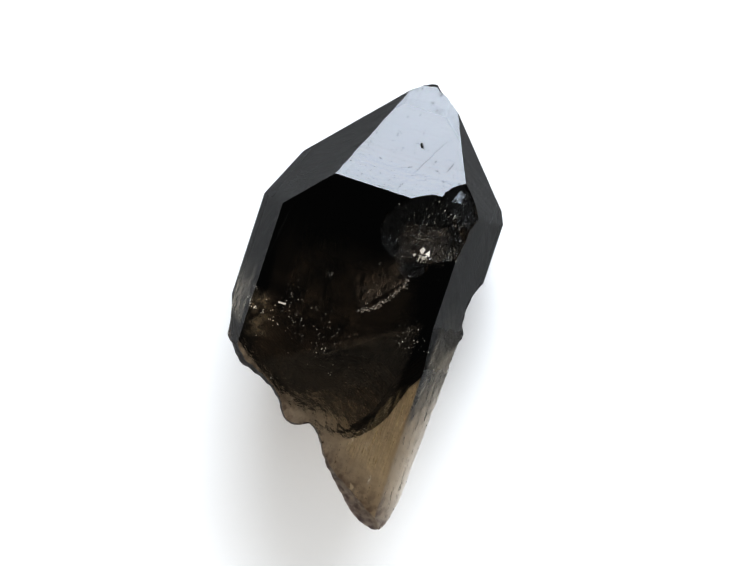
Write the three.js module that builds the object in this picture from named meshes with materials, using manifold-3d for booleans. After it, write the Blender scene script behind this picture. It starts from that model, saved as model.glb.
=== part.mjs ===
// A smoky quartz crystal: one natural six-sided prism with a pointed end.
// The other end is broken off obliquely and undercut, so that it thins to a wedge.
// Millimetres. +Y runs along the long axis to the point, +Z out of the broad front face.
import * as THREE from "three";
import { ConvexGeometry } from "three/addons/geometries/ConvexGeometry.js";
import { mergeVertices } from "three/addons/utils/BufferGeometryUtils.js";
import Module from "manifold-3d";

const wasm = await Module();
wasm.setup();

// Each side of the crystal has a prism face and, above it, a face of the point.
// turn: degrees from +X towards +Z. prism: distance of the prism face from the long axis.
// apex: height at which the face of the point would meet the long axis.
const SIDES = [
  { turn: 90, prism: 9.0, apex: 11.45 },
  { turn: 30, prism: 15.2, apex: 18.55 },
  { turn: -30, prism: 14.65, apex: 20.15 },
  { turn: -90, prism: 9.0, apex: 20.9 },
  { turn: -150, prism: 12.95, apex: 17.3 },
  { turn: 150, prism: 16.5, apex: 14.7 },
];
const FRONT_Z = 9.0;
const THICKNESS = 18.0;
const POINT_ANGLE = 51.79; // between the long axis and each point face's normal
const ROOT_Y = -60; // below anything that the break leaves

// Above this ledge the right-hand front prism face lies a little further in.
const LEDGE_TURN = 30;
const LEDGE_PRISM = 14.7;
const LEDGE_Y = -16.5;
const LEDGE_LEAN = 12.0; // how far the ledge runs along the crystal per millimetre of its height
const LEDGE_JAG = 1.0;
const LAYER_BLOCK = [6, 60, 40]; // a block that covers the layer: thick, long, wide

// The rim of the break as seen from the front, from the left side round to the right.
// Each entry: x, y, and how far the front face's edge lies inside the rim.
const BREAK_RIM = [
  [-22.5, -25.2, 0.8],
  [-15.6, -27.0, 0.9],
  [-13.8, -28.9, 1.1],
  [-12.9, -29.9, 1.1],
  [-10.2, -30.8, 0.9],
  [-7.6, -31.9, 0.6],
  [-5.6, -33.6, 0.4],
  [-4.6, -35.4, 0.4],
  [-3.2, -36.1, 0.6],
  [-1.7, -35.8, 0.7],
  [-0.5, -35.2, 0.5],
  [1.2, -36.7, 0.4],
  [2.2, -38.3, 0.4],
  [3.9, -40.6, 0.7],
  [5.7, -42.5, 1.3],
  [7.8, -44.8, 2.2],
  [9.1, -46.0, 2.5],
  [10.8, -47.0, 2.6],
  [12.9, -47.4, 2.4],
  [14.2, -46.3, 1.2],
  [14.7, -44.9, 0.5],
  [15.2, -42.8, 0.3],
  [17.4, -38.6, 0.3],
  [24.0, -31.0, 0.3],
];
const RIM_SPACING = 0.7;
const RIM_JAG = 0.1;
const RIM_LEVELS = [-10.5, -3, 0, 2, 4, 5, 6, 7, 8, 9, 10.5]; // heights at which the rim is drawn
const FAR = 40; // beyond any side of the crystal
const LIP_SLOPE = 1.1; // depth gained per millimetre of the bevelled lip
const LIP_DROP = 0.5;

// The underside of the break, in a frame turned with it: s along the break, h outward.
const BREAK_TURN = 33.7; // degrees from +X down to the line of the break
const BREAK_X = -8.06; // where that frame starts, level with the front face's top corner
const BREAK_EDGE_H = 26.6; // the rim's mean h
const UNDERCUT = [ // s, thickness left at the rim, and run from the rim to the back
  [-8, 2.7, 11.0],
  [5, 2.7, 11.0],
  [11, 3.5, 6.0],
  [17, 3.4, 6.0],
  [27, 2.4, 14.0],
  [52, 2.4, 14.0],
];
const UNDERCUT_POWER = 1.6;
const WEDGE_DEPTH = 6.6; // thickness of the wedge along its right-hand side
const WEDGE_TAPER = 0.06; // thinning per millimetre towards the broken end
const WEDGE_FLARE = 1.1; // added where the wedge begins, fading along FLARE_REACH
const FLARE_REACH = 2.5;
const WEDGE_X = 16.2;
const WEDGE_Y = -18.0;
const WEDGE_SLOPE = 0.16; // thinning per millimetre towards the left
const WEDGE_LEAST = 1.6;
const STEP_S = 29.5; // the wall where the undercut steps up to the wedge
const STEP_BOW = 1.8;
const STEP_BOW_H = 18.0;
const STEP_BOW_REACH = 5.5;
const STEP_HALF_WIDTH = 0.9;
const STEP_SHARES = [0, 0.3, 0.6, 0.85, 1]; // of the wall's width, where its depth is drawn
const UNDER_S = [-8, 51];
const UNDER_H = [-10, 33];
const UNDER_SPACING = 1.0;
const CLEARANCE = 1.5; // how far the cutting solids pass the back face

// Conchoidal ripples and roughness of the undercut, and ridges along the wedge.
const RIPPLE = { height: 0.14, rate: 2.6, s: 34, h: 34, waver: 0.8 };
const UNDERCUT_ROUGH = 0.18;
const RIDGE = { height: 0.12, rate: 4.2, sway: 0.5 };
const WEDGE_ROUGH = 0.15;
const STEP_JAG = 0.25;

// Rough scoops knocked out of edges: centre, radius and roughness of each.
const SCOOPS = [
  { at: [4.5, -4.6, 16.7], radius: 8.8, rough: 0.14, detail: 18 },
  { at: [8.2, -1.9, 15.6], radius: 8.6, rough: 0.16, detail: 20 },
  { at: [6.0, -8.4, 14.3], radius: 5.8, rough: 0.12, detail: 12 },
  { at: [11.6, 3.2, 11.5], radius: 6.0, rough: 0.14, detail: 14 },
  { at: [22.6, -13.7, 1.0], radius: 7.2, rough: 0.25, detail: 14 },
  { at: [0.5, 18.5, -2.5], radius: 3.2, rough: 0.12, detail: 8 },
  { at: [3.7, 17.3, -2.9], radius: 2.6, rough: 0.12, detail: 8 },
];

const radians = THREE.MathUtils.degToRad;

// Smooth, repeatable unevenness between -1 and 1, with features about one unit wide.
function uneven(x, y, z) {
  const coarse = Math.sin(2.1 * x + 1.3 * y + 0.7) * Math.sin(1.7 * y - 1.1 * z + 2.0);
  const middle = Math.sin(3.9 * z - 2.6 * x + 1.1) * Math.sin(4.3 * y + 1.9 * x);
  const fine = Math.sin(7.1 * x + 5.3 * z + 0.4) * Math.sin(6.7 * y - 4.9 * z + 1.6);
  return 0.5 * coarse + 0.3 * middle + 0.2 * fine;
}

function toSolid(geometry) {
  geometry.deleteAttribute("normal");
  geometry.deleteAttribute("uv");
  const merged = mergeVertices(geometry, 1e-4);
  return new wasm.Manifold(new wasm.Mesh({
    numProp: 3,
    vertProperties: merged.attributes.position.array,
    triVerts: Uint32Array.from(merged.index.array),
  }));
}

function toGeometry(solid) {
  const mesh = solid.getMesh();
  const geometry = new THREE.BufferGeometry();
  geometry.setAttribute("position", new THREE.BufferAttribute(mesh.vertProperties, 3));
  geometry.setIndex(new THREE.BufferAttribute(mesh.triVerts, 1));
  return geometry;
}

// A closed solid through a row of rings with equal numbers of points.
// outline gives the rings' shape in their own plane, anticlockwise seen from the last ring.
function loft(rings, outline) {
  const count = rings[0].length;
  const positions = rings.flat().flatMap((point) => point.toArray());
  const index = [];
  for (let r = 0; r + 1 < rings.length; r += 1) {
    for (let i = 0; i < count; i += 1) {
      const next = (i + 1) % count;
      const [a, b] = [r * count + i, r * count + next];
      index.push(a, b, b + count, a, b + count, a + count);
    }
  }
  const last = (rings.length - 1) * count;
  for (const [a, b, c] of THREE.ShapeUtils.triangulateShape(outline, [])) {
    index.push(c, b, a, last + a, last + b, last + c);
  }
  const geometry = new THREE.BufferGeometry();
  geometry.setAttribute("position", new THREE.Float32BufferAttribute(positions, 3));
  geometry.setIndex(index);
  return geometry;
}

// The whole crystal before it broke: the space inside all the natural faces.
function naturalCrystal() {
  const planes = [new THREE.Plane(new THREE.Vector3(0, -1, 0), ROOT_Y)];
  const [cos, sin] = [Math.cos(radians(POINT_ANGLE)), Math.sin(radians(POINT_ANGLE))];
  for (const { turn, prism, apex } of SIDES) {
    const [x, z] = [Math.cos(radians(turn)), Math.sin(radians(turn))];
    planes.push(new THREE.Plane(new THREE.Vector3(x, 0, z), -prism));
    planes.push(new THREE.Plane(new THREE.Vector3(sin * x, cos, sin * z), -cos * apex));
  }
  return new ConvexGeometry(cornersOf(planes));
}

function cornersOf(planes) {
  const corners = [];
  const near = 1e-6;
  planes.forEach((p, i) => {
    planes.slice(0, i).forEach((q, j) => {
      planes.slice(0, j).forEach((r) => {
        const rows = [p.normal, q.normal, r.normal];
        const system = new THREE.Matrix3().set(...rows.flatMap((n) => n.toArray()));
        if (Math.abs(system.determinant()) < near) {
          return;
        }
        const corner = new THREE.Vector3(-p.constant, -q.constant, -r.constant);
        corner.applyMatrix3(system.invert());
        const inside = planes.every((plane) => plane.distanceToPoint(corner) < near);
        if (inside && corners.every((other) => other.distanceTo(corner) > 1e-3)) {
          corners.push(corner);
        }
      });
    });
  });
  return corners;
}

// A block that holds everything on the crystal's side of the broken rim.
function unbrokenSide() {
  const outward = breakToPart(0, 1).sub(breakToPart(0, 0));
  const curve = new THREE.CatmullRomCurve3(
    BREAK_RIM.map(([x, y, bevel]) => new THREE.Vector3(x, y, bevel)),
    false,
    "centripetal",
  );
  const steps = Math.round(curve.getLength() / RIM_SPACING);
  const rim = curve.getSpacedPoints(steps);
  const ringAt = (level) => {
    const ring = rim.map(({ x, y, z: bevel }, i) => {
      const lip = FRONT_Z - LIP_DROP - LIP_SLOPE * bevel;
      const inset = bevel * THREE.MathUtils.smoothstep(level, lip, FRONT_Z);
      const jag = RIM_JAG * uneven(x, y, 0.6 * level) + 0.5 * RIM_JAG * ((i % 3) - 1);
      const shift = jag - inset;
      return new THREE.Vector3(x + outward.x * shift, y + outward.y * shift, level);
    });
    ring.push(new THREE.Vector3(FAR, ring.at(-1).y, level));
    ring.push(new THREE.Vector3(FAR, FAR, level));
    ring.push(new THREE.Vector3(-FAR, FAR, level));
    ring.push(new THREE.Vector3(-FAR, ring[0].y, level));
    return ring;
  };
  const rings = RIM_LEVELS.map(ringAt);
  return loft(rings, rings[0].map(({ x, y }) => new THREE.Vector2(x, y)));
}

function breakToPart(s, h) {
  const [cos, sin] = [Math.cos(radians(BREAK_TURN)), Math.sin(radians(BREAK_TURN))];
  return new THREE.Vector2(BREAK_X + s * cos - h * sin, -s * sin - h * cos);
}

// Depth below the front face of the undercut, h from the frame's start.
function undercutDepth(s, h) {
  const inward = Math.max(BREAK_EDGE_H - h, 0);
  const next = UNDERCUT.findIndex(([end]) => s <= end);
  const [from, to] = UNDERCUT.slice(Math.max(next - 1, 0), Math.max(next, 1) + 1);
  const share = THREE.MathUtils.smoothstep(s, from[0], to[0]);
  const edge = THREE.MathUtils.lerp(from[1], to[1], share);
  const run = THREE.MathUtils.lerp(from[2], to[2], share);
  const fall = (THICKNESS - edge) * (inward / run) ** UNDERCUT_POWER;
  const radius = Math.hypot(s - RIPPLE.s, h - RIPPLE.h);
  const ripples = Math.sin(RIPPLE.rate * radius + RIPPLE.waver * uneven(s / 4, h / 4, 0));
  const rough = RIPPLE.height * ripples + UNDERCUT_ROUGH * uneven(s / 2, h / 2, 1);
  return Math.min(edge + fall + rough, THICKNESS + CLEARANCE);
}

// Depth below the front face of the wedge's underside, ridged along the crystal.
function wedgeDepth(x, y) {
  const ridges = RIDGE.height * Math.sin(RIDGE.rate * x + RIDGE.sway * Math.sin(y / 2));
  const rough = WEDGE_ROUGH * uneven(x / 2, y / 4, 3);
  const along = Math.min(y - WEDGE_Y, 0);
  const flare = WEDGE_FLARE * Math.exp(along / FLARE_REACH);
  const thickness = WEDGE_DEPTH + WEDGE_TAPER * along + flare - WEDGE_SLOPE * (WEDGE_X - x);
  return Math.max(thickness, WEDGE_LEAST) + ridges + rough;
}

// What the break took from the back: everything under the undercut and the wedge.
function lostUnderside() {
  const offsets = [];
  for (let offset = UNDER_S[0] - STEP_S; offset < UNDER_S[1] - STEP_S; offset += UNDER_SPACING) {
    if (Math.abs(offset) > STEP_HALF_WIDTH) {
      offsets.push(offset);
    }
  }
  offsets.push(...STEP_SHARES.map((share) => STEP_HALF_WIDTH * (2 * share - 1)));
  offsets.sort((a, b) => a - b);
  const bottom = FRONT_Z - THICKNESS - 2 * CLEARANCE;
  const columns = Math.round((UNDER_H[1] - UNDER_H[0]) / UNDER_SPACING);
  const ringAt = (offset) => {
    const ring = [];
    const share = THREE.MathUtils.clamp(0.5 + offset / (2 * STEP_HALF_WIDTH), 0, 1);
    for (let j = 0; j <= columns; j += 1) {
      const h = UNDER_H[0] + j * UNDER_SPACING;
      const bow = STEP_BOW * Math.exp(-(((h - STEP_BOW_H) / STEP_BOW_REACH) ** 2));
      const s = STEP_S + offset + bow + STEP_JAG * uneven(h, 0, 5);
      const { x, y } = breakToPart(s, h);
      const depth = THREE.MathUtils.lerp(undercutDepth(s, h), wedgeDepth(x, y), share);
      ring.push(new THREE.Vector3(x, y, FRONT_Z - depth));
    }
    ring.push(ring.at(-1).clone().setZ(bottom), ring[0].clone().setZ(bottom));
    return ring;
  };
  const rings = offsets.map(ringAt);
  return loft(rings, rings[0].map(({ y, z }) => new THREE.Vector2(z, -y)));
}

// The thin layer missing from the right-hand front face above its ledge.
function lostLayer() {
  const [thick, long, wide] = LAYER_BLOCK;
  const geometry = new THREE.BoxGeometry(thick, long, wide, 1, 1, wide);
  geometry.translate(LEDGE_PRISM + thick / 2, LEDGE_Y + long / 2, 0);
  const positions = geometry.attributes.position;
  for (let i = 0; i < positions.count; i += 1) {
    const [x, y, z] = [positions.getX(i), positions.getY(i), positions.getZ(i)];
    if (y === LEDGE_Y) {
      const lean = LEDGE_LEAN * (x - LEDGE_PRISM);
      positions.setY(i, y - lean + LEDGE_JAG * uneven(0.9 * z, 0.3 * z, 2));
    }
  }
  return geometry.rotateY(-radians(LEDGE_TURN));
}

function scoop({ at, radius, rough, detail }) {
  const geometry = new THREE.IcosahedronGeometry(radius, detail);
  const positions = geometry.attributes.position;
  const point = new THREE.Vector3();
  for (let i = 0; i < positions.count; i += 1) {
    point.fromBufferAttribute(positions, i);
    const bump = rough * uneven(point.x + at[0], point.y + at[1], point.z + at[2]);
    point.setLength(radius + bump).add(new THREE.Vector3(...at));
    positions.setXYZ(i, point.x, point.y, point.z);
  }
  return geometry;
}

function crystalGeometry() {
  let solid = toSolid(naturalCrystal()).intersect(toSolid(unbrokenSide()));
  solid = solid.subtract(toSolid(lostUnderside()));
  solid = solid.subtract(toSolid(lostLayer()));
  for (const chip of SCOOPS) {
    solid = solid.subtract(toSolid(scoop(chip)));
  }
  const geometry = toGeometry(solid);
  geometry.computeBoundingBox();
  const { min, max } = geometry.boundingBox;
  geometry.translate(-(min.x + max.x) / 2, -(min.y + max.y) / 2, -min.z);
  return geometry;
}

const smokyQuartz = new THREE.MeshStandardMaterial({
  color: 0x2a2018,
  roughness: 0.06,
  metalness: 0,
  transparent: true,
  opacity: 0.85,
});

const crystal = new THREE.Mesh(crystalGeometry(), smokyQuartz);
crystal.name = "crystal";

const specimen = new THREE.Group();
specimen.add(crystal);

export default specimen;
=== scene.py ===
import math
import random

import bmesh
import bpy
from mathutils import Matrix, Vector, noise
from mathutils.bvhtree import BVHTree


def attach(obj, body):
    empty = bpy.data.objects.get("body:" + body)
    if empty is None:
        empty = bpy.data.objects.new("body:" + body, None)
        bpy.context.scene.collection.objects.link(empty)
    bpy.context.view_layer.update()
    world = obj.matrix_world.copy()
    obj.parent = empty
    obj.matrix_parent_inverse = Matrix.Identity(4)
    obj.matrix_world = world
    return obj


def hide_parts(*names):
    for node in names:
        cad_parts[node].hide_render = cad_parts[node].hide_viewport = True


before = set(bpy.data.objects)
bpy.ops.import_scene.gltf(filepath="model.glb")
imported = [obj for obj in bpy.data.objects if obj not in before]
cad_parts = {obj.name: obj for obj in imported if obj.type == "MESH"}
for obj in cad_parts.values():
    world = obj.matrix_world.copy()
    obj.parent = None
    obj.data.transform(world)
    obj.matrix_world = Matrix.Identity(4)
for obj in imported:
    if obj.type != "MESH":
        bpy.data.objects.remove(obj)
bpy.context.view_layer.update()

# The photograph's frame, in pixels, and the millimetres that a pixel spans at the crystal.
IMAGE_WIDTH, IMAGE_HEIGHT = 755, 566
MM_PER_PIXEL = 0.14
MM = 0.001

# The camera, from the way the crystal's faces and edges lie in the photograph.
CAMERA_DISTANCE_PX = 2143
CAMERA_ROLL = math.radians(18.24)
CAMERA_TO_POINT = math.radians(6.82)
CAMERA_TO_SIDE = math.radians(0.66)
SENSOR_MM = 36.0
CORNER_IN_FRAME_PX = (335.84, 173.58)
AXIS_FROM_CORNER_PX = 57.6
# The nearest distance that the camera sees, in metres.
NEAR_CLIP = 0.01

# Where the crystal's own axis and the front face's top corner are in the part's frame, in millimetres.
AXIS_X, CORNER_Y, FRONT_Z = 0.029, 15.764, 18.0

# Smoky quartz: its refraction, its colour where it is thin, and how strongly it absorbs per metre.
IOR = 1.544
SMOKE_COLOUR = (0.46, 0.34, 0.14, 1.0)
SMOKE_DENSITY = 318.0
CLEAR_TINT = (1.0, 0.97, 0.93, 1.0)
# Painted shade: the dark colour laid in patches on the broken rim, for the shade that it lies in.
RIM_SHADE_TINT = (0.16, 0.12, 0.12, 1.0)
# The strength of mirror reflection on the natural faces.
SHINE = 0.67

# Between the long axis and the normal of each face of the point.
POINT_ANGLE = math.radians(51.79)
# Two directions are the same when their dot product is above this.
SAME_DIRECTION = 0.9999

# The break's own frame: where it starts, its turn, and where its rim and step are. Lengths in millimetres.
BREAK_X = -8.06
BREAK_TURN = math.radians(33.7)
RIM_H = 27.0
STEP_S = 29.5

# Heights along +Y, in millimetres: where the frosted undercut ends, and where the point's nicks begin.
UNDERCUT_END = (-4.0, 4.0)
NICKS_BEGIN = (24.0, 26.0)

# Scratches seen from the front: both ends, width and strength, from the crystal's axis and the front corner.
SCRATCHES = [
    ((7.2, 11.8), (-0.8, -2.1), 0.24, 0.32),
    ((2.0, 7.5), (2.6, 6.9), 0.5, 0.8),
    ((7.6, 6.6), (6.4, 4.4), 0.12, 0.25),
    ((-12.6, -6.0), (-13.6, -15.0), 0.12, 1.0),
    ((15.4, 4.0), (14.2, -8.0), 0.14, 1.0),
]
SCRATCH_DEPTH = 0.08 * MM
# The shares of a scratch's length where it is fully there, and where it begins to fade.
SCRATCH_ENDS = (0.2, 0.7)

# Vertices nearer to each other than this are one.
WELD = 0.0005 * MM
# Broken surfaces: the longest edge of their mesh, the most rounds of splitting, and the depth of the
# relief in the mesh and of the bumps in the material.
FINE_EDGE = 0.45 * MM
SPLITS = 3
RELIEF = 0.1 * MM
BUMP_DEPTH = 0.2 * MM


def part_point(x, y, z):
    """A point given from the crystal's axis, the front corner's height and the front face, in metres."""
    return Vector((AXIS_X + x, CORNER_Y + y, FRONT_Z + z)) * MM


def new_object(name, mesh):
    piece = bpy.data.objects.new(name, mesh)
    bpy.context.scene.collection.objects.link(piece)
    return piece


# The crystal: the frame's own solid, with a finer surface where it is broken.

def natural_normals():
    """The directions of the crystal's twelve natural faces."""
    directions = []
    for turn in range(-150, 181, 60):
        x, z = math.cos(math.radians(turn)), math.sin(math.radians(turn))
        directions.append(Vector((x, 0, z)))
        outward, along = math.sin(POINT_ANGLE), math.cos(POINT_ANGLE)
        directions.append(Vector((outward * x, along, outward * z)))
    return directions


def is_natural(face, directions):
    return any(face.normal.dot(direction) > SAME_DIRECTION for direction in directions)


def refine_breaks(bm, directions):
    """Splits the long edges of the broken surfaces, and gives back their faces."""
    broken = [f for f in bm.faces if not is_natural(f, directions)]
    for _ in range(SPLITS):
        edges = {e for f in broken for e in f.edges if e.calc_length() > FINE_EDGE}
        if not edges:
            break
        bmesh.ops.subdivide_edges(bm, edges=list(edges), cuts=1, use_grid_fill=False)
        bmesh.ops.triangulate(bm, faces=[f for f in bm.faces if len(f.verts) > 3])
        bm.normal_update()
        broken = [f for f in bm.faces if not is_natural(f, directions)]
    return set(broken)


def relief_depth(place):
    """How deep the relief is, in metres, at a place in millimetres: rolling, with small flat facets."""
    rolling = noise.fractal(place * 0.55, 1.0, 2.1, 3)
    facets = noise.cell(place * 1.3)
    return RELIEF * max(0.5 + 0.5 * rolling + 0.25 * facets, 0.0)


def build_crystal():
    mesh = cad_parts["crystal"].data.copy()
    mesh.name = "crystal_surface"
    piece = new_object("crystal_surface", mesh)
    bm = bmesh.new()
    bm.from_mesh(mesh)
    bmesh.ops.remove_doubles(bm, verts=bm.verts, dist=WELD)
    bm.normal_update()
    mask = bm.faces.layers.float.new("broken")
    broken = refine_breaks(bm, natural_normals())
    for face in bm.faces:
        face[mask] = float(face in broken)
        face.smooth = face in broken
    # Relief goes inward only, so that the surface stays inside the solid.
    moves = []
    for vert in bm.verts:
        if all(face in broken for face in vert.link_faces):
            moves.append((vert, vert.normal * -relief_depth(vert.co / MM)))
    for vert, move in moves:
        vert.co += move
    # The hard edge between a natural face and a break keeps each side's own shading.
    for edge in bm.edges:
        kinds = {face in broken for face in edge.link_faces}
        edge.smooth = len(kinds) == 1
    bm.normal_update()
    bm.to_mesh(mesh)
    bm.free()
    mesh.attributes.remove(mesh.attributes["custom_normal"])
    mesh.update()
    mesh.materials.clear()
    mesh.materials.append(quartz_material())
    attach(piece, "root")
    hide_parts("crystal")
    return piece


class Nodes:
    """Short ways to add and join shader nodes."""

    def __init__(self, name):
        self.material = bpy.data.materials.new(name)
        self.material.use_nodes = True
        self.tree = self.material.node_tree
        self.tree.nodes.clear()

    def add(self, kind, **inputs):
        node = self.tree.nodes.new("ShaderNode" + kind)
        for key, value in inputs.items():
            node.inputs[key.replace("_", " ")].default_value = value
        return node

    def join(self, source, target):
        self.tree.links.new(source, target)

    def attribute(self, name):
        node = self.add("Attribute")
        node.attribute_name = name
        return node.outputs["Fac"]

    def place(self):
        """The point in the part's frame, in millimetres."""
        coordinates = self.add("TexCoord")
        scale = self.add("Mapping", Scale=(1 / MM, 1 / MM, 1 / MM))
        self.join(coordinates.outputs["Object"], scale.inputs["Vector"])
        return scale.outputs["Vector"]

    def split(self, vector):
        parts = self.add("SeparateXYZ")
        self.join(vector, parts.inputs["Vector"])
        return parts.outputs

    def turned(self, vector, x, y, turn):
        """The coordinates in a frame that starts at x, y and is turned as seen from the front."""
        mapping = self.add("Mapping", Rotation=(0.0, 0.0, turn))
        mapping.vector_type = "TEXTURE"
        mapping.inputs["Location"].default_value = (AXIS_X + x, CORNER_Y + y, 0.0)
        self.join(vector, mapping.inputs["Vector"])
        return self.split(mapping.outputs["Vector"])

    def noise(self, vector, scale, detail=2.0, stretch=(1.0, 1.0, 1.0)):
        mapping = self.add("Mapping", Scale=stretch)
        self.join(vector, mapping.inputs["Vector"])
        pattern = self.add("TexNoise", Scale=scale, Detail=detail)
        self.join(mapping.outputs["Vector"], pattern.inputs["Vector"])
        return pattern.outputs["Fac"]

    def remap(self, value, low, high, to_low, to_high):
        node = self.add("MapRange")
        node.inputs["From Min"].default_value = low
        node.inputs["From Max"].default_value = high
        node.inputs["To Min"].default_value = to_low
        node.inputs["To Max"].default_value = to_high
        self.join(value, node.inputs["Value"])
        return node.outputs["Result"]

    def calculate(self, operation, *values):
        node = self.add("Math")
        node.operation = operation
        for value, socket in zip(values, node.inputs):
            self.join(value, socket)
        return node.outputs["Value"]

    def times(self, first, second):
        return self.calculate("MULTIPLY", first, second)

    def plus(self, first, second):
        return self.calculate("ADD", first, second)

    def line(self, vector, start, end, width, strength):
        """Its strength along a straight line seen from the front, fading to 0 at half its width."""
        (ax, ay), (bx, by) = start, end
        parts = self.turned(vector, ax, ay, math.atan2(by - ay, bx - ax))
        across = self.calculate("ABSOLUTE", parts["Y"])
        near = self.remap(across, 0.0, 0.5 * width, strength, 0.0)
        length = math.hypot(bx - ax, by - ay)
        full, fades = SCRATCH_ENDS
        begun = self.remap(parts["X"], 0.0, full * length, 0.0, 1.0)
        ended = self.remap(parts["X"], fades * length, length, 1.0, 0.0)
        return self.times(near, self.times(begun, ended))


def uneven_gloss(nodes, place, broken, undercut, grain):
    """The roughness: the undercut is frosted, and the chips at the front corner and point are glossy."""
    uneven = nodes.remap(nodes.noise(place, scale=0.5, detail=3.0), 0.35, 0.65, 0.3, 0.5)
    frosting = nodes.times(broken, nodes.times(undercut, uneven))
    return nodes.plus(frosting, nodes.remap(grain, 0.3, 0.7, 0.0, 0.03))


def broken_normal(nodes, place, broken, undercut, grain, along_break):
    """Ridges run along the crystal under the wedge, which begins at the step. The chips are hackly."""
    on_wedge = nodes.remap(along_break, STEP_S - 0.5, STEP_S + 2.5, 0.0, 0.25)
    ridges = nodes.times(nodes.noise(place, scale=1.0, stretch=(3.2, 0.12, 1.0)), on_wedge)
    on_chips = nodes.remap(undercut, 0.3, 1.0, 4.5, 0.0)
    hackly = nodes.times(nodes.noise(place, scale=1.1, detail=5.0), on_chips)
    bump = nodes.add("Bump", Distance=BUMP_DEPTH)
    nodes.join(broken, bump.inputs["Strength"])
    nodes.join(nodes.plus(grain, nodes.plus(hackly, ridges)), bump.inputs["Height"])
    return bump.outputs["Normal"]


def rim_shade_colour(nodes, place, broken, across_break):
    """Painted shade: the broken rim is darkened in patches, for the shade that it lies in."""
    rim = nodes.remap(across_break, -RIM_H + 5.0, -RIM_H + 0.2, 0.0, 1.0)
    patches = nodes.remap(nodes.noise(place, scale=0.9, detail=3.0), 0.4, 0.6, 0.6, 1.0)
    tint = nodes.add("Mix")
    tint.data_type = "RGBA"
    factor, clear, shaded = tint.inputs[0], tint.inputs[6], tint.inputs[7]
    nodes.join(nodes.times(nodes.times(rim, patches), broken), factor)
    clear.default_value = CLEAR_TINT
    shaded.default_value = RIM_SHADE_TINT
    return tint.outputs[2]


def scratch_depth(nodes, place):
    """How deep the pits and the hairline scratches are, as a share of the deepest scratch."""
    spots = nodes.noise(place, scale=1.9, detail=1.0)
    depth = nodes.remap(spots, 0.72, 0.76, 0.0, 0.35)
    for scratch in SCRATCHES:
        depth = nodes.plus(depth, nodes.line(place, *scratch))
    return depth


def scratched_normal(nodes, depth, normal):
    bump = nodes.add("Bump", Strength=0.5, Distance=SCRATCH_DEPTH)
    bump.invert = True
    nodes.join(depth, bump.inputs["Height"])
    nodes.join(normal, bump.inputs["Normal"])
    return bump.outputs["Normal"]


def mirror_strength(nodes, broken, height, scratches):
    """Scratches mirror nothing. The breaks reflect less than the faces, and least at the point."""
    dull = nodes.times(broken, nodes.remap(height, *NICKS_BEGIN, 0.5, 0.85))
    between_scratches = nodes.remap(scratches, 0.0, 1.0, SHINE, 0.0)
    return nodes.times(between_scratches, nodes.remap(dull, 0.0, 1.0, 1.0, 0.0))


def quartz_material():
    nodes = Nodes("smoky_quartz")
    out = nodes.add("OutputMaterial")
    shader = nodes.add("BsdfPrincipled", Transmission_Weight=1.0, IOR=IOR, Base_Color=CLEAR_TINT)
    nodes.join(shader.outputs["BSDF"], out.inputs["Surface"])
    absorb = nodes.add("VolumeAbsorption", Color=SMOKE_COLOUR, Density=SMOKE_DENSITY)
    nodes.join(absorb.outputs["Volume"], out.inputs["Volume"])

    place = nodes.place()
    height = nodes.split(place)["Y"]
    broken = nodes.attribute("broken")
    grain = nodes.noise(place, scale=1.6, detail=5.0)
    undercut = nodes.remap(height, *UNDERCUT_END, 1.0, 0.3)
    # Along the break, and across it towards the point, with the rim at -RIM_H.
    in_break = nodes.turned(place, BREAK_X, 0.0, -BREAK_TURN)
    scratches = scratch_depth(nodes, place)

    roughness = uneven_gloss(nodes, place, broken, undercut, grain)
    normal = broken_normal(nodes, place, broken, undercut, grain, in_break["X"])
    nodes.join(roughness, shader.inputs["Roughness"])
    nodes.join(scratched_normal(nodes, scratches, normal), shader.inputs["Normal"])
    nodes.join(rim_shade_colour(nodes, place, broken, in_break["Y"]), shader.inputs["Base Color"])
    nodes.join(mirror_strength(nodes, broken, height, scratches), shader.inputs["Specular Tint"])
    return nodes.material


# What is inside the stone: cloudy sheets and small bright flecks, with painted glints among both.

# Veils: colour, least and greatest opacity, and how often their streaks repeat along x, y and z.
VEILS = {
    "cloud": ((0.42, 0.36, 0.31), 0.0, 0.55, (3.0, 0.6, 1.0)),
    "haze": ((0.36, 0.33, 0.29), 0.17, 0.30, (0.3, 0.3, 0.3)),
    "body": ((0.45, 0.34, 0.24), 0.05, 0.20, (0.35, 0.25, 0.3)),
    "milky": ((0.62, 0.60, 0.54), 0.12, 0.52, (2.4, 0.35, 1.0)),
    "mottled": ((0.46, 0.38, 0.30), 0.0, 0.32, (1.7, 1.7, 1.7)),
    # Painted reflection: a pale bluish sheet for the light that a chip facet mirrors.
    "facet": ((0.66, 0.74, 0.84), 0.25, 0.95, (1.6, 1.6, 1.6)),
    "streaks": ((0.70, 0.60, 0.40), 0.0, 0.40, (3.6, 0.30, 1.0)),
    "patch": ((0.60, 0.53, 0.42), 0.0, 0.6, (0.8, 0.8, 1.0)),
    "line": ((0.6, 0.55, 0.5), 0.0, 0.8, (3.5, 3.5, 3.5)),
    "faint": ((0.5, 0.46, 0.4), 0.15, 0.3, (1.0, 1.0, 1.0)),
}
VEIL_ROUGHNESS = 0.7
# The part of the noise over which a veil goes from its least to its greatest opacity.
STREAK_RANGE = (0.35, 0.68)


def veil_material(name, colour, least, greatest, stretch):
    """A cloudy sheet, thicker and thinner in streaks, that fades where its own mask says."""
    nodes = Nodes(name)
    out = nodes.add("OutputMaterial")
    shader = nodes.add("BsdfPrincipled", Roughness=VEIL_ROUGHNESS, Base_Color=(*colour, 1.0))
    nodes.join(shader.outputs["BSDF"], out.inputs["Surface"])
    mask = nodes.attribute("veil")
    streaks = nodes.noise(nodes.place(), scale=1.0, detail=4.0, stretch=stretch)
    opacity = nodes.times(mask, nodes.remap(streaks, *STREAK_RANGE, least, greatest))
    nodes.join(opacity, shader.inputs["Alpha"])
    return nodes.material


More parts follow.
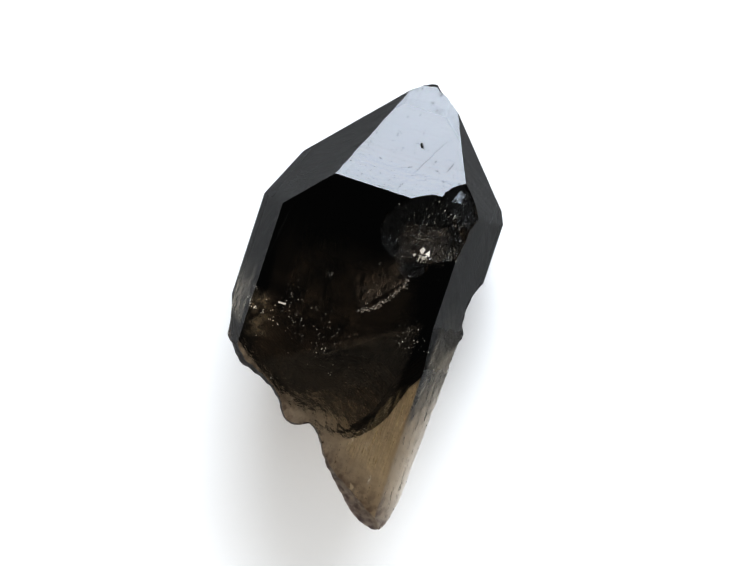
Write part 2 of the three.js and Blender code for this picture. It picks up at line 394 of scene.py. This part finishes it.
def smooth(low, high, value):
    """From 0 at low to 1 at high, level at both ends."""
    share = min(max((value - low) / (high - low), 0.0), 1.0)
    return share * share * (3 - 2 * share)


# Where the rays start, in millimetres above the front face.
ABOVE = 5.0


class Surface:
    """Finds places below the crystal's surface, seen from the front."""

    def __init__(self, piece):
        self.tree = BVHTree.FromObject(piece, bpy.context.evaluated_depsgraph_get())

    def below(self, x, y, depth):
        """The point that lies depth millimetres under the surface at x, y, or None beside the crystal."""
        start = part_point(x, y, ABOVE)
        hit = self.tree.ray_cast(start, Vector((0, 0, -1)))[0]
        return None if hit is None else hit - Vector((0, 0, depth * MM))


def add_inside(name, mesh, material):
    piece = new_object(name, mesh)
    mesh.materials.append(material)
    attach(piece, "root")


def faded(value, fades):
    """The product of several fades, each from 0 at its first place to 1 at its second."""
    return math.prod(smooth(start, end, value) for start, end in fades)


# A sheet's squares across and down. Its ripples: height in millimetres, how many fit in a millimetre,
# and how far the pattern shifts with the depth at the first corner.
SHEET_GRID = (28, 20)
WAVE = 0.15
RIPPLE_RATE = 0.6
RIPPLE_SHIFT = 7
# No part of a sheet lies nearer to the surface than this, in millimetres.
LEAST_DEPTH = 0.1


def sheet(name, surface, corners, depths, material, across_fades, down_fades, wave=WAVE):
    """A rippled sheet between four corners, with its depth at each and a mask that fades at its edges."""
    across, down = SHEET_GRID
    bm = bmesh.new()
    layer = bm.verts.layers.float.new("veil")
    grid = {}
    for i in range(across + 1):
        for j in range(down + 1):
            u, v = i / across, j / down
            weights = ((1 - u) * (1 - v), u * (1 - v), u * v, (1 - u) * v)
            x = sum(w * c[0] for w, c in zip(weights, corners))
            y = sum(w * c[1] for w, c in zip(weights, corners))
            depth = sum(w * d for w, d in zip(weights, depths))
            ripple = noise.noise(Vector((x * RIPPLE_RATE, y * RIPPLE_RATE, depths[0] * RIPPLE_SHIFT)))
            point = surface.below(x, y, max(depth + wave * ripple, LEAST_DEPTH))
            if point is None:
                continue
            vert = bm.verts.new(point)
            vert[layer] = faded(u, across_fades) * faded(v, down_fades)
            grid[i, j] = vert
    for i in range(across):
        for j in range(down):
            ring = [grid.get(key) for key in ((i, j), (i, j + 1), (i + 1, j + 1), (i + 1, j))]
            if all(ring):
                bm.faces.new(ring).smooth = True
    mesh = bpy.data.meshes.new(name)
    bm.to_mesh(mesh)
    bm.free()
    add_inside(name, mesh, material)


# How often a ribbon bends and changes its width in each stretch, how far it does so as shares of its
# width, and where it fades at both ends.
BEND_RATE = 6.0
WIDTH_RATE = 9.0
BEND = 0.8
WIDTH_CHANGE = 0.45
RIBBON_FADES = [(0.0, 0.08), (1.0, 0.92)]


def ribbon(name, surface, points, width, depth, material, steps=60):
    """A narrow, uneven line under the surface through a few points."""
    bm = bmesh.new()
    layer = bm.verts.layers.float.new("veil")
    last = None
    for k in range(steps + 1):
        t = k / steps * (len(points) - 1)
        i = min(int(t), len(points) - 2)
        (ax, ay), (bx, by) = points[i], points[i + 1]
        x, y = ax + (bx - ax) * (t - i), ay + (by - ay) * (t - i)
        length = math.hypot(bx - ax, by - ay)
        nx, ny = -(by - ay) / length, (bx - ax) / length
        wander = noise.noise(Vector((t * BEND_RATE, depth, width)))
        half = width * (0.5 + WIDTH_CHANGE * noise.noise(Vector((t * WIDTH_RATE, 3.0, depth))))
        pair = []
        for side in (-1, 1):
            shift = width * BEND * wander + side * half
            point = surface.below(x + nx * shift, y + ny * shift, depth)
            if point is None:
                break
            vert = bm.verts.new(point)
            vert[layer] = faded(k / steps, RIBBON_FADES)
            pair.append(vert)
        if len(pair) == 2 and last:
            bm.faces.new((last[0], last[1], pair[1], pair[0]))
        last = pair if len(pair) == 2 else None
    mesh = bpy.data.meshes.new(name)
    bm.to_mesh(mesh)
    bm.free()
    add_inside(name, mesh, material)


# Groups of flecks: middle x and y, spread, how many, size of the largest, and depth, in millimetres.
FLECK_GROUPS = [
    (-10.2, -22.4, 0.5, 7, 0.30, 0.8),
    (-9.3, -22.8, 0.3, 4, 0.22, 0.6),
    (-14.0, -18.7, 0.5, 8, 0.22, 0.8),
    (-14.3, -20.9, 0.8, 12, 0.34, 0.8),
    (-13.0, -21.6, 0.4, 8, 0.34, 0.6),
    (-11.9, -21.9, 0.4, 5, 0.24, 0.8),
    (-8.5, -18.1, 0.5, 5, 0.20, 0.8),
    (-7.0, -18.6, 0.5, 5, 0.20, 0.8),
    (-4.5, -14.0, 0.7, 10, 0.24, 0.9),
    (-4.1, -32.3, 0.5, 5, 0.18, 0.5),
    (-7.9, -30.4, 0.6, 5, 0.16, 0.5),
    (-2.9, -34.3, 0.3, 3, 0.26, 0.3),
    (11.8, -31.2, 0.6, 6, 0.16, 0.5),
    # Painted glints: the fine sparkles on the chip at the front corner.
    (7.2, -7.3, 0.8, 30, 0.42, 0.2),
    (10.7, -6.1, 1.0, 22, 0.30, 0.2),
    (10.2, -1.6, 1.2, 22, 0.24, 0.2),
    (7.6, -0.6, 1.4, 16, 0.20, 0.2),
    (6.8, -4.0, 4.2, 130, 0.22, 0.15),
    (5.0, -9.0, 1.0, 10, 0.20, 0.15),
    (5.9, -35.2, 0.5, 8, 0.20, 0.5),
    (8.0, -35.4, 0.5, 8, 0.20, 0.5),
    (9.9, -40.1, 0.6, 12, 0.22, 0.5),
    (9.2, -19.0, 2.4, 50, 0.26, 0.6),
    (-2.5, -23.0, 4.5, 70, 0.22, 0.6),
    (-8.0, -21.0, 4.5, 70, 0.22, 0.6),
    (2.0, -14.0, 3.5, 30, 0.18, 0.6),
]
CRACK = [(6.2, -10.7), (5.9, -12.4), (4.3, -14.6), (2.9, -16.5), (0.9, -17.4)]
GOLD_EDGE = [(9.9, -26.7), (9.1, -29.7), (8.4, -31.6), (5.8, -35.0), (3.4, -37.7)]
# Flecks along lines: the line, how many to each stretch, spread, and size of the largest. Those along the
# gold edge are painted glints, for the sparkles of its jagged step.
FLECK_LINES = [(GOLD_EDGE, 14, 0.15, 0.13), (CRACK, 22, 0.22, 0.2)]
FLECK_LINE_DEPTHS = (0.08, 0.5)
# A group's flecks lie from the least depth down to this share of the group's depth.
FLECK_LEAST_DEPTH = 0.05
FLECK_REACH = 0.6
# A fleck's size as a share of the largest, and how much longer and wider than its size it is.
FLECK_SIZES = (0.3, 1.0)
FLECK_STRETCH = 1.6
FLECK_LENGTHS = (0.6, 1.0)
FLECK_WIDTHS = (0.3, 0.7)
# How far its corners may turn, in radians, and rise, as a share of its width.
FLECK_SKEW = 0.4
FLECK_TILT = 0.2
# Painted glints and flecks: the near-white colour of every fleck.
FLECK_AND_GLINT_COLOUR = (0.90, 0.88, 0.84)
# A long bright dash on the left, and painted glints: the sparkles at the chip's foot.
BRIGHT_FACETS = [
    [(-10.2, -19.65), (-10.15, -19.95), (-9.0, -19.9), (-9.05, -19.6)],
    [(6.5, -6.7), (6.8, -6.1), (7.3, -6.3), (7.0, -7.1)],
    [(7.4, -6.9), (7.9, -6.2), (8.1, -7.1)],
    [(5.7, -7.4), (6.3, -7.2), (6.0, -7.8)],
    [(7.0, -7.4), (7.5, -7.3), (7.3, -8.1)],
]
FACET_DEPTH = 0.15


def add_fleck(bm, rng, point, size):
    """A small flat bright fleck, a chip of bright fracture, tilted a little from the front; near the chip
    and the gold edge it is a painted glint.
    """
    turn = rng.uniform(0, math.tau)
    long = FLECK_STRETCH * size * rng.uniform(*FLECK_LENGTHS) * MM
    short = FLECK_STRETCH * size * rng.uniform(*FLECK_WIDTHS) * MM
    corners = []
    for k in range(4):
        angle = k * math.tau / 4 + rng.uniform(-FLECK_SKEW, FLECK_SKEW)
        a, b = 0.5 * long * math.cos(angle), 0.5 * short * math.sin(angle)
        x = a * math.cos(turn) - b * math.sin(turn)
        y = a * math.sin(turn) + b * math.cos(turn)
        rise = FLECK_TILT * rng.uniform(-1, 1) * short
        corners.append(bm.verts.new(point + Vector((x, y, rise))))
    bm.faces.new(corners)


def build_flecks_and_glints(surface):
    rng = random.Random(7)
    bm = bmesh.new()
    for x, y, spread, count, size, depth in FLECK_GROUPS:
        for _ in range(count):
            place = rng.gauss(x, 0.5 * spread), rng.gauss(y, 0.5 * spread)
            point = surface.below(*place, rng.uniform(FLECK_LEAST_DEPTH, FLECK_REACH * depth))
            if point is not None:
                add_fleck(bm, rng, point, size * rng.uniform(*FLECK_SIZES))
    for line, count, spread, size in FLECK_LINES:
        for (ax, ay), (bx, by) in zip(line, line[1:]):
            for _ in range(count):
                t = rng.random()
                x = ax + t * (bx - ax) + rng.gauss(0, spread)
                y = ay + t * (by - ay) + rng.gauss(0, spread)
                point = surface.below(x, y, rng.uniform(*FLECK_LINE_DEPTHS))
                if point is not None:
                    add_fleck(bm, rng, point, size * rng.uniform(*FLECK_SIZES))
    for outline in BRIGHT_FACETS:
        bm.faces.new([bm.verts.new(surface.below(x, y, FACET_DEPTH)) for x, y in outline])
    mesh = bpy.data.meshes.new("flecks")
    bm.to_mesh(mesh)
    bm.free()
    add_inside("flecks", mesh, plain_material("fleck_and_glint", FLECK_AND_GLINT_COLOUR, roughness=0.5))


# Sheets: their veil, four corners, the depth at each, the fades across and down them, and the height of
# the ripples where it isn't the usual one.
SHEETS = {
    "crack_veil": (
        "cloud", [(6.1, -11.2), (0.8, -17.4), (-3.4, -12.0), (3.8, -7.6)], (0.3, 0.3, 1.8, 1.8),
        [(0.0, 0.15), (1.0, 0.8)], [(1.0, 0.3)],
    ),
    "body_haze": (
        "body", [(-13.3, -6.4), (8.0, -8.0), (10.4, -18.2), (-11.8, -30.3)], (1.0, 1.0, 1.0, 1.0),
        [(0.0, 0.06), (1.0, 0.8)], [(0.0, 0.5), (1.0, 0.97)],
    ),
    "lower_haze": (
        "haze", [(-10.9, -28.8), (10.6, -15.8), (9.6, -29.2), (1.5, -37.0)], (1.0, 1.0, 1.0, 0.8),
        [(0.0, 0.1), (1.0, 0.94)], [(0.0, 0.03), (1.0, 0.93)],
    ),
    "left_haze": (
        "patch", [(-14.2, -18.8), (-9.6, -18.2), (-7.6, -25.0), (-13.6, -26.4)], (0.7, 1.2, 1.4, 0.6),
        [(0.0, 0.1), (1.0, 0.4)], [(0.0, 0.2), (1.0, 0.8)],
    ),
    "chip_cloud": (
        "mottled", [(2.2, -3.2), (11.0, -2.0), (10.6, -8.0), (3.6, -9.4)], (0.3, 0.3, 0.4, 0.4),
        [(0.0, 0.2), (1.0, 0.8)], [(0.0, 0.2), (1.0, 0.8)],
    ),
    # Painted reflection: the chip's bright facet, drawn as a pale bluish sheet just under the surface.
    "chip_glint": (
        "facet", [(8.5, 1.0), (9.3, 3.2), (10.3, 2.7), (10.3, 1.2)], (0.15, 0.15, 0.15, 0.15),
        [(0.0, 0.1), (1.0, 0.9)], [(0.0, 0.1), (1.0, 0.9)], 0.0,
    ),
    "right_veil": (
        "milky", [(12.5, -12.0), (16.6, -13.0), (15.9, -40.0), (12.6, -40.0)], (0.4, 0.4, 0.4, 0.4),
        [(0.0, 0.08), (1.0, 0.92)], [(0.0, 0.4), (0.85, 0.4)],
    ),
    "left_veil": (
        "milky", [(-14.3, -13.5), (-17.2, -14.5), (-16.5, -24.0), (-14.2, -25.0)], (0.4, 0.4, 0.4, 0.4),
        [(0.0, 0.08), (1.0, 0.92)], [(0.0, 0.7), (1.0, 0.9)],
    ),
    "wedge_streaks": (
        "streaks", [(10.0, -26.0), (12.7, -24.0), (12.7, -41.0), (4.4, -37.6)], (0.6, 0.6, 0.6, 0.6),
        [(0.0, 0.05), (1.0, 0.8)], [(0.0, 0.1), (1.0, 0.85)],
    ),
}
# Two faint lines under the front face.
FAINT_UPPER = [(-2.4, -25.5), (2.9, -21.7), (5.9, -19.3)]
FAINT_LOWER = [(2.5, -28.6), (9.3, -24.3)]


def build_inside(crystal):
    surface = Surface(crystal)
    veils = {name: veil_material("veil_" + name, *look) for name, look in VEILS.items()}
    ribbon("crack_line", surface, CRACK, width=0.55, depth=0.18, material=veils["line"], steps=120)
    for name, (veil, corners, depths, *fades) in SHEETS.items():
        sheet(name, surface, corners, depths, veils[veil], *fades)
    ribbon("faint_line_upper", surface, FAINT_UPPER, width=0.16, depth=0.9, material=veils["faint"])
    ribbon("faint_line_lower", surface, FAINT_LOWER, width=0.12, depth=0.9, material=veils["faint"])
    build_flecks_and_glints(surface)


# Floor, light and camera.

def plain_material(name, colour, roughness):
    material = bpy.data.materials.new(name)
    material.use_nodes = True
    shader = material.node_tree.nodes["Principled BSDF"]
    shader.inputs["Base Color"].default_value = (*colour, 1.0)
    shader.inputs["Roughness"].default_value = roughness
    return material


# The floor's width and length, in metres.
FLOOR_SIZE = 1.2
FLOOR_COLOUR = (0.80, 0.80, 0.795)


def build_floor():
    half = 0.5 * FLOOR_SIZE
    mesh = bpy.data.meshes.new("floor")
    corners = [(-half, -half, 0), (half, -half, 0), (half, half, 0), (-half, half, 0)]
    mesh.from_pydata([Vector(c) for c in corners], [], [(0, 1, 2, 3)])
    floor = new_object("floor", mesh)
    mesh.materials.append(plain_material("pale_floor", FLOOR_COLOUR, roughness=0.9))


def area_light(name, direction, distance, size, power, colour):
    light = bpy.data.lights.new(name, "AREA")
    light.shape = "RECTANGLE"
    light.size, light.size_y = size
    light.energy = power
    light.color = colour
    lamp = bpy.data.objects.new(name, light)
    bpy.context.scene.collection.objects.link(lamp)
    aim = Vector((0, 0, 0.5 * FRONT_Z * MM))
    lamp.location = aim + Vector(direction).normalized() * distance
    lamp.rotation_euler = (aim - lamp.location).to_track_quat("-Z", "Y").to_euler()


# The surroundings' brightness at heights from the horizon, 0, to straight above, 1.
SKY = [(0.0, 0.5), (0.3, 1.0), (0.5, 0.75), (0.7, 0.42), (0.92, 0.1)]
SKY_STRENGTH = 2.4
# The window: direction from the crystal, distance and size in metres, power in watts, and colour.
WINDOW = ((-0.10, 0.92, 0.36), 0.7, (0.54, 0.30), 10.8, (0.86, 0.92, 1.0))


def grey(level):
    return (level, level, level, 1.0)


def build_lights():
    area_light("window", *WINDOW)
    world = bpy.data.worlds.new("studio")
    bpy.context.scene.world = world
    world.use_nodes = True
    tree = world.node_tree
    background = tree.nodes["Background"]
    place = tree.nodes.new("ShaderNodeTexCoord")
    parts = tree.nodes.new("ShaderNodeSeparateXYZ")
    ramp = tree.nodes.new("ShaderNodeValToRGB")
    stops = ramp.color_ramp.elements
    stops[0].color = grey(SKY[0][1])
    stops[1].color = grey(SKY[-1][1])
    stops[1].position = SKY[-1][0]
    for height, level in SKY[1:-1]:
        stops.new(height).color = grey(level)
    tree.links.new(place.outputs["Generated"], parts.inputs["Vector"])
    tree.links.new(parts.outputs["Z"], ramp.inputs["Fac"])
    tree.links.new(ramp.outputs["Color"], background.inputs["Color"])
    background.inputs["Strength"].default_value = SKY_STRENGTH


def build_camera():
    """The camera's place and turn, worked out from the crystal's tilt in the photograph."""
    a, b, roll = CAMERA_TO_POINT, CAMERA_TO_SIDE, CAMERA_ROLL
    # Directions in the part's frame: across is the photograph's right, up its top, back towards the camera.
    side = Vector((math.cos(b), math.sin(b) * math.sin(a), math.sin(b) * math.cos(a)))
    along = Vector((0, math.cos(a), -math.sin(a)))
    back = Vector((-math.sin(b), math.cos(b) * math.sin(a), math.cos(b) * math.cos(a)))
    across = side * math.cos(roll) + along * math.sin(roll)
    up = along * math.cos(roll) - side * math.sin(roll)
    pixel = MM_PER_PIXEL * MM
    corner = part_point(-AXIS_FROM_CORNER_PX * MM_PER_PIXEL, 0, 0)
    dx = IMAGE_WIDTH / 2 - CORNER_IN_FRAME_PX[0]
    dy = IMAGE_HEIGHT / 2 - CORNER_IN_FRAME_PX[1]
    target = corner + across * dx * pixel - up * dy * pixel
    camera = bpy.data.cameras.new("camera")
    camera.sensor_width = SENSOR_MM
    camera.sensor_fit = "HORIZONTAL"
    camera.lens = SENSOR_MM * CAMERA_DISTANCE_PX / IMAGE_WIDTH
    camera.clip_start = NEAR_CLIP
    item = bpy.data.objects.new("camera", camera)
    bpy.context.scene.collection.objects.link(item)
    rotation = Matrix((across, up, back)).transposed().to_4x4()
    item.matrix_world = Matrix.Translation(target + back * CAMERA_DISTANCE_PX * pixel) @ rotation
    bpy.context.scene.camera = item


# The view's gamma, for the photograph's strong contrast, and how often light may bounce in the stone.
VIEW_GAMMA = 0.6
BOUNCES = 16


def set_view():
    view = bpy.context.scene.view_settings
    view.view_transform = "Standard"
    view.look = "None"
    view.exposure = 0.0
    view.gamma = VIEW_GAMMA
    cycles = bpy.context.scene.cycles
    cycles.max_bounces = BOUNCES
    cycles.transmission_bounces = BOUNCES


build_inside(build_crystal())
build_floor()
build_lights()
build_camera()
set_view()
